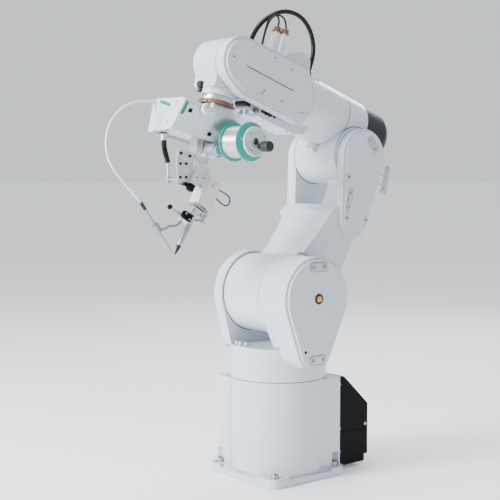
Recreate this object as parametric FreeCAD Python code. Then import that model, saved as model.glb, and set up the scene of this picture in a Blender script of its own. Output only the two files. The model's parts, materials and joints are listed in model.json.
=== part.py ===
"""Small six-axis assembly robot arm that carries an automatic soldering head.

Frame, in millimetres: +Z up, +X forward (the way the arm reaches), +Y to the side of the
motor covers.  The origin is on the floor under the turning axis of the base (J1).
Every sub-part is built where it lies at rest and written to its own STEP file.
"""
import math
import os

import FreeCAD, Part
from FreeCAD import Vector

# ---------------------------------------------------------------- driving dimensions
# Axes of the arm, in the plane y = 0.
SHOULDER = (30.0, 395.0)            # J2 axis: x, z
UPPER_ARM = 355.0                   # J2 to J3
UPPER_LEAN = 33.6                   # degrees that the upper arm leans back at rest
FOREARM_RISE = 19.5                 # degrees that the forearm rises forward at rest
FOREARM = 361.0                     # J3 to J5, measured along the forearm
ROLL_OFFSET = 69.0                  # height of the roll axis (J4) over J3
TOOL_TILT = 14.0                    # degrees that the tool's top rises forward at rest
IRON_TILT = 31.0                    # degrees between the soldering iron and the vertical

# Base.
BOLT_X, BOLT_Y = 168.0, 184.0       # mounting hole spacing
BOLT_CENTRE_X = 5.0
BOLT_R = 5.5
PLATE_X = (-100.0, 109.0)
PLATE_Y = 112.0
PLATE_Z = 18.0
TOWER_R = 105.0
BASE_TOP = 213.0
TURRET_BOTTOM = 214.0
TURRET_TOP = 284.0

# Shoulder, widths along Y.
ARM_DRUM_R = 84.0
ARM_DRUM_Y = (-47.5, 66.0)
EAR_R = 89.0
EAR_Y = (-75.0, -48.0)
UPRIGHT_Y = (66.5, 98.0)
SHOULDER_COVER_Y = (98.0, 153.0, 160.0)

# Elbow.
ELBOW_DRUM_R = 62.0
ELBOW_HALF = 65.5
YOKE_IN = 66.5
YOKE_R = 60.0
YOKE_LEFT_OUT = -94.0
YOKE_RIGHT_OUT = 78.0
ELBOW_COVER_Y = (78.0, 89.0, 94.5)
CROTCH = 235.0

# Forearm, in its own frame: origin on J5, +X forward along the roll axis.
ROLL_R = 65.0
ROLL_SEAM = -316.0
ROLL_REAR = -420.0
REAR_SEAM = -376.0
FOREARM_HALF = 38.0
WRIST_R = 51.0
FOREARM_COVER_Y = (38.0, 64.0, 70.0)

# Running fit between a shaft and its bore, and the gap between moving faces.
FIT = 0.05
GAP = 0.5


# ---------------------------------------------------------------- helpers
def turn(angle):
    """Sine and cosine of an angle in degrees."""
    return math.sin(math.radians(angle)), math.cos(math.radians(angle))


def lean(shape, origin, angle):
    """Tip a shape's +X up by angle about Y, then move its origin to (x, z)."""
    placed = shape.copy()
    placed.rotate(Vector(0, 0, 0), Vector(0, 1, 0), -angle)
    placed.translate(Vector(origin[0], 0, origin[1]))
    return placed


def lean_point(point, origin, angle):
    """The place of one point after lean()."""
    s, c = turn(angle)
    x, y, z = point
    return (origin[0] + x * c - z * s, y, origin[1] + x * s + z * c)


def box(x0, x1, y0, y1, z0, z1):
    return Part.makeBox(x1 - x0, y1 - y0, z1 - z0, Vector(x0, y0, z0))


def cyl(radius, start, end):
    """A cylinder between two points."""
    a, b = Vector(*start), Vector(*end)
    return Part.makeCylinder(radius, (b - a).Length, a, b - a)


def cone(r0, r1, start, end):
    a, b = Vector(*start), Vector(*end)
    return Part.makeCone(r0, r1, (b - a).Length, a, b - a)


def ring(outer, inner, start, end):
    return cyl(outer, start, end).cut(cyl(inner, start, end))


def join(*shapes):
    """Fuse solids that make one casting."""
    whole = shapes[0].fuse(list(shapes[1:]))
    return whole.removeSplitter()


def group(shapes):
    """Pieces that share a node as separate solids."""
    return Part.makeCompound(list(shapes))


def lift(plane, a, b, level):
    """A point of a drawing plane: xz is seen along Y, xy along Z, yz along X."""
    return {"xz": Vector(a, level, b), "xy": Vector(a, b, level), "yz": Vector(level, a, b)}[plane]


def along(plane, distance):
    return {"xz": Vector(0, distance, 0), "xy": Vector(0, 0, distance), "yz": Vector(distance, 0, 0)}[plane]


def extrude(edges, plane, low, high):
    return Part.Face(Part.Wire(edges)).extrude(along(plane, high - low))


def belt(plane, low, high, circles):
    """Extrude the outline of a belt run round circles (a, b, r) given anticlockwise."""
    count = len(circles)
    angles = []
    for i in range(count):
        a0, b0, r0 = circles[i]
        a1, b1, r1 = circles[(i + 1) % count]
        run = math.hypot(a1 - a0, b1 - b0)
        angles.append(math.atan2(b1 - b0, a1 - a0) - math.acos((r0 - r1) / run))
    edges = []
    for i in range(count):
        a, b, r = circles[i]
        into, out = angles[i - 1], angles[i]
        while out < into:
            out += 2 * math.pi
        ends = [lift(plane, a + r * math.cos(t), b + r * math.sin(t), low) for t in (into, (into + out) / 2, out)]
        edges.append(Part.Arc(*ends).toShape())
        a1, b1, r1 = circles[(i + 1) % count]
        start = ends[2]
        finish = lift(plane, a1 + r1 * math.cos(angles[i]), b1 + r1 * math.sin(angles[i]), low)
        edges.append(Part.LineSegment(start, finish).toShape())
    return extrude(edges, plane, low, high)


def slab(plane, low, high, corners):
    """Extrude a polygon whose corners are (a, b) or (a, b, radius)."""
    corners = [tuple(c) + (0.0,) if len(c) == 2 else tuple(c) for c in corners]
    count = len(corners)
    marks = []
    for i in range(count):
        a, b, r = corners[i]
        here = Vector(a, b, 0)
        before = Vector(corners[i - 1][0], corners[i - 1][1], 0) - here
        after = Vector(corners[(i + 1) % count][0], corners[(i + 1) % count][1], 0) - here
        if r <= 0:
            marks.append((here, None, here))
            continue
        half = before.getAngle(after) / 2
        before.normalize()
        after.normalize()
        setback = r / math.tan(half)
        middle = (before + after).normalize() * (r / math.sin(half))
        nearest = middle - Vector(middle).normalize() * r
        marks.append((here + before * setback, here + nearest, here + after * setback))
    edges = []
    for i in range(count):
        start, mid, end = marks[i]
        if mid is not None:
            points = [lift(plane, p.x, p.y, low) for p in (start, mid, end)]
            edges.append(Part.Arc(*points).toShape())
        following = marks[(i + 1) % count][0]
        if (following - end).Length > 1e-6:
            ends = [lift(plane, p.x, p.y, low) for p in (end, following)]
            edges.append(Part.LineSegment(*ends).toShape())
    return extrude(edges, plane, low, high)


def heads(points, direction, radius, height):
    """Screw heads that stand on a surface at the given points."""
    step = Vector(*direction)
    step.normalize()
    solids = []
    for point in points:
        start = Vector(*point)
        head = Part.makeCylinder(radius, height, start, step)
        socket = Part.makeCylinder(radius * 0.45, height * 0.6, start + step * height * 0.4, step)
        solids.append(head.cut(socket))
    return group(solids)


def tube(points, diameter):
    """A round cord along straight runs joined by tangent arcs; returns it with its arc radii."""
    route = [Vector(*p) for p in points]
    edges, radii, start = [], [], route[0]
    for before, corner, after in zip(route, route[1:], route[2:]):
        back, ahead = before - corner, after - corner
        shorter = min(back.Length, ahead.Length)
        bend = math.pi - back.getAngle(ahead)
        radius = 0.45 * shorter / math.tan(bend / 2)
        back.normalize()
        ahead.normalize()
        setback = 0.45 * shorter
        enter, leave = corner + back * setback, corner + ahead * setback
        inward = (back + ahead).normalize()
        mid = corner + inward * (math.hypot(radius, setback) - radius)
        edges.append(Part.LineSegment(start, enter).toShape())
        edges.append(Part.Arc(enter, mid, leave).toShape())
        radii.append(radius)
        start = leave
    edges.append(Part.LineSegment(start, route[-1]).toShape())
    path = Part.Wire(edges)
    first = route[1] - route[0]
    section = Part.Wire([Part.makeCircle(diameter / 2, route[0], first)])
    solid = path.makePipeShell([section], True, False)
    expected = math.pi * diameter ** 2 / 4 * path.Length
    return solid, radii, path.Length, solid.Volume / expected


def save(name, shape):
    shape.exportStep("parts/" + name + ".step")
    print(f"{name:28s} solids {len(shape.Solids):2d}  volume {shape.Volume / 1000:9.1f} cm3  valid {shape.isValid()}")


def save_cord(name, points, diameter):
    solid, radii, length, ratio = tube(points, diameter)
    shown = " ".join(f"{r:.0f}" for r in radii)
    print(f"{name}: length {length:.0f} diameter {diameter} radii {shown} volume ratio {ratio:.3f}")
    save(name, solid)


os.makedirs("parts", exist_ok=True)

_s, _c = turn(UPPER_LEAN)
ELBOW = (SHOULDER[0] - UPPER_ARM * _s, SHOULDER[1] + UPPER_ARM * _c)
_s, _c = turn(FOREARM_RISE)
WRIST = (ELBOW[0] + FOREARM * _c - ROLL_OFFSET * _s, ELBOW[1] + FOREARM * _s + ROLL_OFFSET * _c)
ELBOW_LOCAL = (-FOREARM, -ROLL_OFFSET)


# ---------------------------------------------------------------- base
def base_casting():
    plate = slab("xy", 0, PLATE_Z, [(PLATE_X[0], -PLATE_Y, 20), (PLATE_X[1], -PLATE_Y, 20),
                                    (PLATE_X[1], PLATE_Y, 20), (PLATE_X[0], PLATE_Y, 20)])
    strip, depth, lug = 9.0, 5.0, 44.0
    recess = PLATE_Z - depth
    for x0, x1 in ((PLATE_X[1] - strip, PLATE_X[1] + 1), (PLATE_X[0] - 1, PLATE_X[0] + strip)):
        plate = plate.cut(box(x0, x1, -PLATE_Y + lug, PLATE_Y - lug, recess, PLATE_Z + 1))
    for y0, y1 in ((PLATE_Y - strip, PLATE_Y + 1), (-PLATE_Y - 1, -PLATE_Y + strip)):
        plate = plate.cut(box(PLATE_X[0] + lug, PLATE_X[1] - lug, y0, y1, recess, PLATE_Z + 1))
    tower = cyl(TOWER_R, (0, 0, PLATE_Z), (0, 0, BASE_TOP))
    rear = slab("xy", PLATE_Z, BASE_TOP - 2, [(-97, -97, 6), (0, -97), (0, 97), (-97, 97, 6)])
    side = slab("xy", PLATE_Z, BASE_TOP - 3, [(-60, -105, 8), (87, -105, 5), (87, -60), (-60, -60)])
    casting = join(plate, tower, rear, side)
    casting = casting.cut(cyl(78, (0, 0, 30), (0, 0, BASE_TOP + 1)))
    for sx in (-1, 1):
        for sy in (-1, 1):
            x, y = BOLT_CENTRE_X + sx * BOLT_X / 2, sy * BOLT_Y / 2
            casting = casting.cut(cyl(BOLT_R, (x, y, -1), (x, y, PLATE_Z + 30)))
            casting = casting.cut(cyl(10.5, (x, y, PLATE_Z - 1), (x, y, PLATE_Z + 30)))
    return casting


BOX_Y = 80.0
BOX_REAR = -196.0


def connector_box():
    outer = slab("xz", -BOX_Y, BOX_Y, [(-97, 8), (-97, 207), (-121, 207, 6), (-137, 193),
                                       (BOX_REAR, 138, 5), (BOX_REAR, 24), (-186, 24), (-186, 8, 4)])
    inner = slab("xz", -BOX_Y + 4, BOX_Y - 4, [(-96, 12), (-96, 203), (-120, 203), (-135, 188),
                                               (BOX_REAR + 4, 136), (BOX_REAR + 4, 28),
                                               (-182, 28), (-182, 12)])
    groove = box(BOX_REAR - 1, -100, BOX_Y - 1, BOX_Y + 1, 81, 83)
    return outer.cut(inner).cut(groove).cut(base_casting())


def panel_plate():
    panel = slab("yz", BOX_REAR - 3, BOX_REAR, [(-66, 56, 6), (66, 56, 6), (66, 122, 6), (-66, 122, 6)])
    for y in (-40, 0):
        panel = panel.cut(cyl(14, (BOX_REAR - 4, y, 90), (BOX_REAR + 1, y, 90)))
    return panel


def cable_sockets():
    solids = []
    for y in (-40, 0):
        body = ring(13.8, 10.5, (BOX_REAR, y, 90), (BOX_REAR - 24, y, 90))
        core = cyl(10.5, (BOX_REAR, y, 90), (BOX_REAR - 12, y, 90))
        flange = ring(17, 13.8, (BOX_REAR - 3, y, 90), (BOX_REAR - 6, y, 90))
        solids.append(join(body, core, flange))
    return group(solids)


def air_fittings():
    solids = []
    for y, z in ((34, 102), (52, 102), (34, 78), (52, 78)):
        nut = slab("yz", BOX_REAR - 9, BOX_REAR - 3,
                   [(y + 6.5 * math.cos(k * math.pi / 3), z + 6.5 * math.sin(k * math.pi / 3)) for k in range(6)])
        collar = ring(5.5, 3.1, (BOX_REAR - 9, y, z), (BOX_REAR - 18, y, z))
        solids.append(join(nut.cut(cyl(3.1, (BOX_REAR - 9, y, z), (BOX_REAR - 6, y, z))), collar))
    return group(solids)


def connector_panel():
    return group([panel_plate()] + cable_sockets().Solids + air_fittings().Solids)


def j1_motor():
    body = slab("xy", 46, 138, [(-32, -32, 6), (32, -32, 6), (32, 32, 6), (-32, 32, 6)])
    cap = slab("xy", 31, 46, [(-26, -26, 5), (26, -26, 5), (26, 26, 5), (-26, 26, 5)])
    return join(body, cap, cyl(9, (0, 0, 138), (0, 0, 160)))


def j1_reducer():
    housing = ring(78, 50, (0, 0, 168), (0, 0, 208))
    web = cyl(78, (0, 0, 150), (0, 0, 168)).cut(cyl(9 + FIT, (0, 0, 149), (0, 0, 169)))
    return join(housing, web).cut(cyl(40, (0, 0, 160), (0, 0, 169)))


# ---------------------------------------------------------------- turret, on J1
def turret_casting():
    x, z = SHOULDER
    drum = cyl(TOWER_R, (0, 0, TURRET_BOTTOM), (0, 0, TURRET_TOP))
    ear = belt("xz", EAR_Y[0], EAR_Y[1], [(x, z, EAR_R), (-8, 270, 28), (66, 284, 26)])
    upright = belt("xz", UPRIGHT_Y[0], UPRIGHT_Y[1], [(x, z, ARM_DRUM_R), (-8, 274, 26), (42, 287, 26)])
    casting = join(drum, ear, upright, cyl(50 - FIT, (0, 0, 169), (0, 0, TURRET_BOTTOM)))
    sweep = ARM_DRUM_R + 3
    casting = casting.cut(cyl(sweep, (x, EAR_Y[1], z), (x, UPRIGHT_Y[0], z)))
    casting = casting.cut(cyl(20 + FIT, (x, EAR_Y[0] - 1, z), (x, EAR_Y[1] + 1, z)))
    casting = casting.cut(cyl(60, (x, UPRIGHT_Y[0] - 1, z), (x, UPRIGHT_Y[1] + 1, z)))
    return casting


def shoulder_cover_outline(grow, low, high):
    x, z = SHOULDER
    return belt("xz", low, high, [(x, z, ARM_DRUM_R + 2 + grow), (x + 5, 292, 46 + grow)])


def shoulder_motor_cover():
    y0, y1, y2 = SHOULDER_COVER_Y
    shell = join(shoulder_cover_outline(0, y0, y1), shoulder_cover_outline(-5, y1, y2))
    shell = shell.cut(shoulder_cover_outline(-9, y0 - 1, y2 - 4))
    return shell.cut(cyl(TOWER_R, (0, 0, TURRET_BOTTOM), (0, 0, TURRET_TOP)))


def shoulder_cover_tabs():
    x, z = SHOULDER
    y = SHOULDER_COVER_Y[2]
    top = slab("xz", y, y + 2, [(x - 22, z + 58, 4), (x + 22, z + 58, 4), (x + 22, z + 74, 4), (x - 22, z + 74, 4)])
    low = slab("xz", y, y + 2, [(x - 18, z - 134, 4), (x + 22, z - 134, 4), (x + 22, z - 118, 4), (x - 18, z - 118, 4)])
    return group([top, low])


def shoulder_cover_screws():
    x, z = SHOULDER
    y = SHOULDER_COVER_Y[2] + 2
    return heads([(x - 15, y, z + 66), (x + 15, y, z + 66), (x - 12, y, z - 126), (x + 15, y, z - 126)],
                 (0, 1, 0), 3.5, 2)


def foot_screws():
    """Cap screws through the feet of the ear and the upright, near the turret's top."""
    ear = heads([(92.15, y, 281) for y in (-68, -56)], (0.967, 0, -0.254), 3.4, 3.4)
    upright = heads([(71.55, y, 288) for y in (77, 89)], (0.899, 0, -0.438), 3.4, 3.4)
    return group(ear.Solids + upright.Solids)


def turret_fittings():
    """Grease and cable fittings on top of the turret, in front of the arm's drum."""
    solids = []
    for y, r in ((-36, 5), (-22, 6.5), (-4, 5)):
        solids.append(ring(r, r - 2.5, (88, y, TURRET_TOP), (88, y, TURRET_TOP + 9)))
    return group(solids)


def turret_hardware():
    parts = [shoulder_cover_tabs(), shoulder_cover_screws(), foot_screws(), turret_fittings()]
    return group([solid for part in parts for solid in part.Solids])


def j2_motor():
    x, z = SHOULDER
    y = UPRIGHT_Y[1]
    flange = slab("xz", y, y + 6, [(x - 36, z - 36, 6), (x + 36, z - 36, 6), (x + 36, z + 36, 6), (x - 36, z + 36, 6)])
    body = slab("xz", y + 6, y + 58, [(x - 30, z - 30, 5), (x + 30, z - 30, 5), (x + 30, z + 30, 5), (x - 30, z + 30, 5)])
    return join(flange, body)


def j2_reducer():
    x, z = SHOULDER
    return join(ring(60, 40, (x, UPRIGHT_Y[0], z), (x, UPRIGHT_Y[1], z)),
                cyl(60, (x, UPRIGHT_Y[1] - 8, z), (x, UPRIGHT_Y[1], z)))


# ---------------------------------------------------------------- lower arm, on J2
# Built upright in its own frame: origin on J2, +Z towards J3, +X to the front.
def j2_output_flange():
    return cyl(40 - FIT, (0, ARM_DRUM_Y[1], 0), (0, UPRIGHT_Y[1] - 8 - GAP, 0))


def j2_pivot_pin():
    return cyl(20, (0, EAR_Y[0] + 6, 0), (0, ARM_DRUM_Y[0] + 30, 0))


def j2_shafts():
    return group([j2_output_flange(), j2_pivot_pin()])


# The elbow cover and the two yokes share this shape: round at J3, narrowing to the arm.
ELBOW_COVER_FOOT = (-58.0, 222.0)


def yoke_outline(low, high, grow):
    x, z = ELBOW_COVER_FOOT
    return belt("xz", low, high, [(-6, UPPER_ARM - 1, YOKE_R + grow), (x, z, 34 + grow)])


def lower_arm_casting():
    y0, y1 = ARM_DRUM_Y
    drum = cyl(ARM_DRUM_R, (0, y0, 0), (0, y1, 0))
    neck = slab("xz", y0, y1, [(-83, 0), (60, 50), (27, 84, 10), (10, 150), (-91, 150), (-94, 105, 30)])
    beam = slab("xz", -80, YOKE_RIGHT_OUT, [(-93, 112), (24, 92), (8, 160, 60), (0, 212), (-12, CROTCH), (-84, CROTCH),
                                (-88, 170, 80)])
    beam = beam.cut(slab("yz", -200, 200, [(-47.5, 80), (-48.5, 100), (-81, 236), (-120, 236), (-120, 80)]))
    left = yoke_outline(YOKE_LEFT_OUT, -YOKE_IN, 0)
    right = yoke_outline(YOKE_IN, YOKE_RIGHT_OUT, 0)
    web = slab("xz", YOKE_LEFT_OUT, YOKE_RIGHT_OUT,
               [(-86, 205), (-22, 190, 20), (-2, 205), (-12, CROTCH, 6), (-88, CROTCH, 6)])
    shell = join(drum, neck, beam, left, right, web)
    motor_room = slab("xz", -34, YOKE_RIGHT_OUT + 4, [(-78, 192, 5), (-38, 192, 5), (-38, 232, 5), (-78, 232, 5)])
    shell = shell.cut(motor_room)
    shell = shell.cut(cyl(20, (0, y0 - 1, 0), (0, y0 + 30, 0)))
    shell = shell.cut(cyl(18 + FIT, (0, YOKE_LEFT_OUT + 5, UPPER_ARM), (0, -YOKE_IN + 1, UPPER_ARM)))
    return shell.cut(cyl(50, (0, YOKE_IN - 1, UPPER_ARM), (0, YOKE_RIGHT_OUT + 1, UPPER_ARM)))


def elbow_motor_cover():
    y0, y1, y2 = ELBOW_COVER_Y
    shell = join(yoke_outline(y0, y1, 2), yoke_outline(y1, y2, -3))
    return shell.cut(yoke_outline(y0 - 1, y2 - 3.5, -7))


def elbow_cover_tabs():
    y = ELBOW_COVER_Y[2]
    top = slab("xz", y, y + 1.5, [(-22, 378, 4), (10, 388, 4), (6, 402, 4), (-26, 392, 4)])
    low = slab("xz", y, y + 1.5, [(-28, 228, 3), (-19, 226, 3), (-4, 270, 3), (-13, 273, 3)])
    return group([top, low])


def elbow_cover_screws():
    y = ELBOW_COVER_Y[2] + 1.5
    return heads([(3, y, 391), (-19, y, 384), (-10, y, 264), (-22, y, 234)], (0, 1, 0), 2.6, 1.6)


def elbow_cover_plugs():
    y = ELBOW_COVER_Y[2]
    places = [(14, 290), (-30, 213), (-82, 240)]
    return group([cyl(5.5, (x, y, z), (x, y + 1.6, z)) for x, z in places])


def elbow_bracket():
    """Folded steel cable bracket on the rear of the yoke."""
    plate = slab("xz", 82, 91, [(-80, 380), (-87, 380), (-107, 324), (-101, 318), (-95, 322)])
    legs = [box(-94, -56, 84, 89, 350, 355), box(-103, -66, 84, 89, 328, 333)]
    return join(plate, *legs).cut(elbow_motor_cover())


def elbow_cover_hardware():
    parts = [elbow_cover_tabs(), elbow_cover_screws(), elbow_cover_plugs(), elbow_bracket()]
    return group([solid for part in parts for solid in part.Solids])


J3_MOTOR = (-58.0, 212.0)


def j3_motor():
    x, z = J3_MOTOR
    body = slab("xz", -33, 58, [(x - 19, z - 19, 4), (x + 19, z - 19, 4), (x + 19, z + 19, 4), (x - 19, z + 19, 4)])
    return join(body, cyl(5, (x, 58, z), (x, 79.5, z)))


def j3_pulleys():
    x, z = J3_MOTOR
    small = ring(12, 5, (x, 79.5, z), (x, 88, z))
    large = ring(34, 10, (0, 81, UPPER_ARM), (0, 88, UPPER_ARM))
    return group([small, large])


def j3_belt():
    x, z = J3_MOTOR
    loop = belt("xz", 82, 87, [(x, z, 13.5), (0, UPPER_ARM, 35.5)])
    return loop.cut(belt("xz", 81, 88, [(x, z, 12.1), (0, UPPER_ARM, 34.1)]))


def j3_belt_drive():
    return group(j3_pulleys().Solids + [j3_belt()])


def j3_reducer():
    housing = ring(50, 36, (0, YOKE_IN, UPPER_ARM), (0, YOKE_RIGHT_OUT, UPPER_ARM))
    cap = cyl(50, (0, YOKE_RIGHT_OUT - 3, UPPER_ARM), (0, YOKE_RIGHT_OUT, UPPER_ARM))
    return join(housing, cap, cyl(10, (0, YOKE_RIGHT_OUT, UPPER_ARM), (0, 88, UPPER_ARM)))


# ---------------------------------------------------------------- elbow, on J3
# Built in the forearm's frame: origin on J5, +X forward along the roll axis (J4).
def j3_output_flange():
    x, z = ELBOW_LOCAL
    return cyl(36 - FIT, (x, ELBOW_HALF, z), (x, YOKE_RIGHT_OUT - 3 - GAP, z))


def j3_pivot_pin():
    x, z = ELBOW_LOCAL
    return cyl(18, (x, YOKE_LEFT_OUT + 6, z), (x, -ELBOW_HALF + 20, z))


def j3_shafts():
    return group([j3_output_flange(), j3_pivot_pin()])


def elbow_housing():
    x, z = ELBOW_LOCAL
    drum = cyl(ELBOW_DRUM_R, (x, -ELBOW_HALF, z), (x, ELBOW_HALF, z))
    barrel = cyl(ROLL_R, (REAR_SEAM, 0, 0), (ROLL_SEAM, 0, 0))
    neck = slab("xz", -52, 52, [(ROLL_REAR + 8, -30), (ROLL_SEAM, -30), (ROLL_SEAM, -48), (x + 55, z),
                                (x - 58, z), (ROLL_REAR + 8, -44, 10)])
    stop = slab("xz", -16, 6, [(-304, -60), (-290, -62), (-286, -78), (-292, -84), (-300, -82)])
    shell = join(drum, barrel, neck, stop)
    shell = shell.cut(cyl(50, (ROLL_SEAM - 30, 0, 0), (ROLL_SEAM + 1, 0, 0)))
    shell = shell.cut(cyl(46, (ROLL_REAR - 1, 0, 0), (ROLL_SEAM - 40, 0, 0)))
    shell = shell.cut(cyl(12, (ROLL_SEAM - 41, 0, 0), (ROLL_SEAM - 29, 0, 0)))
    shell = shell.cut(cyl(ROLL_R + GAP, (ROLL_SEAM, 0, 0), (ROLL_SEAM + 60, 0, 0)))
    return shell.cut(cyl(18, (x, -ELBOW_HALF - 1, z), (x, -ELBOW_HALF + 20, z)))


def elbow_rear_cover():
    """A domed cap: a short barrel whose rear edge is turned to a large round."""
    profile = [(REAR_SEAM, 0), (REAR_SEAM, ROLL_R - 1), (ROLL_REAR - 16, ROLL_R - 1)]
    start, mid, end = (ROLL_REAR - 16, ROLL_R - 1), (ROLL_REAR - 38, 50), (ROLL_REAR - 50, 20)
    edges = [Part.LineSegment(Vector(profile[i][0], 0, profile[i][1]), Vector(profile[i + 1][0], 0, profile[i + 1][1])).toShape()
             for i in range(2)]
    edges.append(Part.Arc(*[Vector(p[0], 0, p[1]) for p in (start, mid, end)]).toShape())
    rear = ROLL_REAR - 50
    edges.append(Part.LineSegment(Vector(rear, 0, 20), Vector(rear, 0, 0)).toShape())
    edges.append(Part.LineSegment(Vector(rear, 0, 0), Vector(REAR_SEAM, 0, 0)).toShape())
    solid = Part.Face(Part.Wire(edges)).revolve(Vector(0, 0, 0), Vector(1, 0, 0), 360)
    return solid.cut(cyl(44, (ROLL_REAR - 30, 0, 0), (REAR_SEAM + 1, 0, 0))).cut(elbow_housing())


def j4_motor():
    body = cyl(30, (ROLL_REAR - 20, 0, 0), (ROLL_SEAM - 40, 0, 0))
    return join(body, cyl(12, (ROLL_SEAM - 40, 0, 0), (ROLL_SEAM - 30, 0, 0)))


def j4_reducer():
    return ring(50, 38, (ROLL_SEAM - 30, 0, 0), (ROLL_SEAM, 0, 0))


# ---------------------------------------------------------------- forearm, on J4
def forearm_casting():
    barrel = cyl(ROLL_R, (ROLL_SEAM + GAP, 0, 0), (-212, 0, 0))
    taper = cone(ROLL_R, 48, (-212, 0, 0), (-176, 0, 0))
    body = slab("xz", -FOREARM_HALF, FOREARM_HALF,
                [(-230, -58), (-56, -58, 8), (-56, 20), (-38, 36), (-38, 50, 6), (-160, 53), (-230, 55)])
    flange = cyl(38 - FIT, (ROLL_SEAM - 29, 0, 0), (ROLL_SEAM + GAP, 0, 0))
    shell = join(barrel, taper, body, flange)
    shell = join(shell, forearm_cover_outline(FOREARM_HALF, 50, -10))
    shell = shell.cut(cyl(WRIST_R + 3, (0, -80, 0), (0, FOREARM_HALF, 0)))
    shell = shell.cut(cyl(30, (0, 30, 0), (0, 51, 0)))
    shell = shell.cut(box(-196, -74, -28, 28, -46, 40))
    shell = shell.cut(cyl(9, (-130, 20, 0), (-130, 51, 0)))
    return shell.cut(cyl(20, (ROLL_SEAM - 30, 0, 0), (-190, 0, 0)))


def forearm_cover_outline(low, high, grow):
    return belt("xz", low, high, [(0, 0, WRIST_R + grow), (-160, 37, 20 + grow), (-192, 0, 16 + grow),
                                  (-178, -45, 18 + grow), (-22, -45, 18 + grow)])


def forearm_side_cover():
    y0, y1, y2 = FOREARM_COVER_Y
    shell = join(forearm_cover_outline(y0, y1, 0), forearm_cover_outline(y1, y2, -6))
    return shell.cut(forearm_cover_outline(y0 - 1, y2 - 4, -9.5)).cut(forearm_casting())


def side_cover_screws():
    places = [(30, -2), (-71, 38), (-121, 33), (-66, -36), (-61, -44), (-118, -39), (-178, -40)]
    y = FOREARM_COVER_Y[2]
    return heads([(x, y, z) for x, z in places], (0, 1, 0), 2.8, 1.4)


def j5_motor():
    body = slab("xz", -28, 20, [(-151, -21, 4), (-109, -21, 4), (-109, 21, 4), (-151, 21, 4)])
    return join(body, cyl(5, (-130, 20, 0), (-130, 51, 0)))


def j5_pulleys():
    small = ring(12, 5, (-130, 51, 0), (-130, 60, 0))
    large = ring(26, 8, (0, 52, 0), (0, 60, 0))
    return group([small, large])


def j5_belt():
    loop = belt("xz", 53, 59, [(-130, 0, 13.5), (0, 0, 27.5)])
    return loop.cut(belt("xz", 52, 60, [(-130, 0, 12.1), (0, 0, 26.1)]))


def j5_belt_drive():
    return group(j5_pulleys().Solids + [j5_belt()])


def j5_reducer():
    housing = ring(30, 22, (0, FOREARM_HALF, 0), (0, 50, 0))
    return join(housing, cyl(30, (0, 47, 0), (0, 50, 0)), cyl(8, (0, 50, 0), (0, 60, 0)))


def forearm_underside_cover():
    cover = slab("xz", -30, 30, [(-232, -58), (-96, -58), (-100, -77, 8), (-205, -77, 12), (-232, -66, 4)])
    return cover.cut(forearm_casting())


def underside_screws():
    return heads([(x, y, -77) for x in (-120, -190) for y in (-22, 22)], (0, 0, -1), 2.6, 2)


def forearm_screws():
    return group(side_cover_screws().Solids + underside_screws().Solids)


def valve_body():
    return slab("xz", -12, 26, [(-92, -58), (-66, -58), (-66, -73, 2), (-92, -74, 2)])


def valve_fittings():
    solids = []
    for y in (-4, 16):
        solids.append(ring(4.5, 2.4, (-79, y, -73.9), (-79, y, -81)))
    return group(solids)


def valve_block():
    return group([valve_body()] + valve_fittings().Solids)


CONNECTOR_PLACES = ((-101, 12), (-116, 21))
GLAND_PLACES = ((-73, 12), (-68, 21))


def connector_bodies():
    solids = []
    for x, y in CONNECTOR_PLACES:
        solids.append(slab("xy", 53.2, 114, [(x - 6, y - 6.5, 2), (x + 6, y - 6.5, 2), (x + 6, y + 6.5, 2),
                                             (x - 6, y + 6.5, 2)]))
    return group(solids)


def connector_heads():
    return group([slab("xz", y - 7, y + 7, [(x - 6.5, 114), (x + 6.5, 114), (x + 5, 128.5, 3), (x - 5, 128.5, 3)])
                  for x, y in CONNECTOR_PLACES])


def cable_connectors():
    return group(connector_bodies().Solids + connector_heads().Solids)


def connector_block():
    block = slab("xz", -22, 24, [(-142, 50), (-142, 84, 6), (-172, 98, 8), (-202, 92, 8), (-208, 66), (-208, 50)])
    return block.cut(forearm_casting())


def cable_glands():
    large = [join(cyl(9, (x, 0, z), (x, 0, z + 8)), cone(9, 6, (x, 0, z + 8), (x, 0, z + 13)))
             for x, z in ((-50, 50), (-224, 64.5))]
    large[1] = join(large[1], cyl(9, (-224, 0, 62), (-224, 0, 65)))
    small = [cone(4.8, 3, (x, y, 50.6), (x, y, 62)) for x, y in GLAND_PLACES]
    return group([gland.cut(forearm_casting()) for gland in large + small])


# ---------------------------------------------------------------- wrist, on J5
# Built in the tool's frame: origin on J5, +X forward, -Z along the J6 axis.
FLANGE = -78.0


def wrist_housing():
    drum = cyl(WRIST_R, (0, -FOREARM_HALF + 1, 0), (0, FOREARM_HALF - 1, 0))
    sleeve = cyl(37, (0, 0, -72), (0, 0, 0))
    cheek = slab("yz", -38, 38, [(-36, -60, 8), (36, -60, 8), (36, 0), (-36, 0)])
    flange = cyl(22 - FIT, (0, FOREARM_HALF - 1, 0), (0, 47 - GAP, 0))
    shell = join(drum, sleeve, cheek, flange)
    shell = shell.cut(cyl(20, (0, 0, -73), (0, 0, -52)))
    return shell.cut(box(-24, 24, -24, 24, -40, 26))


def j6_motor():
    return join(box(-20, 20, -20, 20, -36, 20), cyl(8, (0, 0, -40), (0, 0, -36)))


# ---------------------------------------------------------------- soldering tool, on J6
def output_flange():
    return join(cyl(20 - FIT, (0, 0, FLANGE), (0, 0, -53)), cyl(32, (0, 0, FLANGE), (0, 0, -72.5)))


def tool_adapter_plate():
    plate = cyl(36, (0, 0, FLANGE - 7), (0, 0, FLANGE))
    return join(plate, slab("xy", -104, FLANGE - 7, [(-30, -26, 5), (26, -26, 5), (26, 26, 5), (-30, 26, 5)]))


def tool_flange():
    return group([output_flange(), tool_adapter_plate()])


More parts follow.
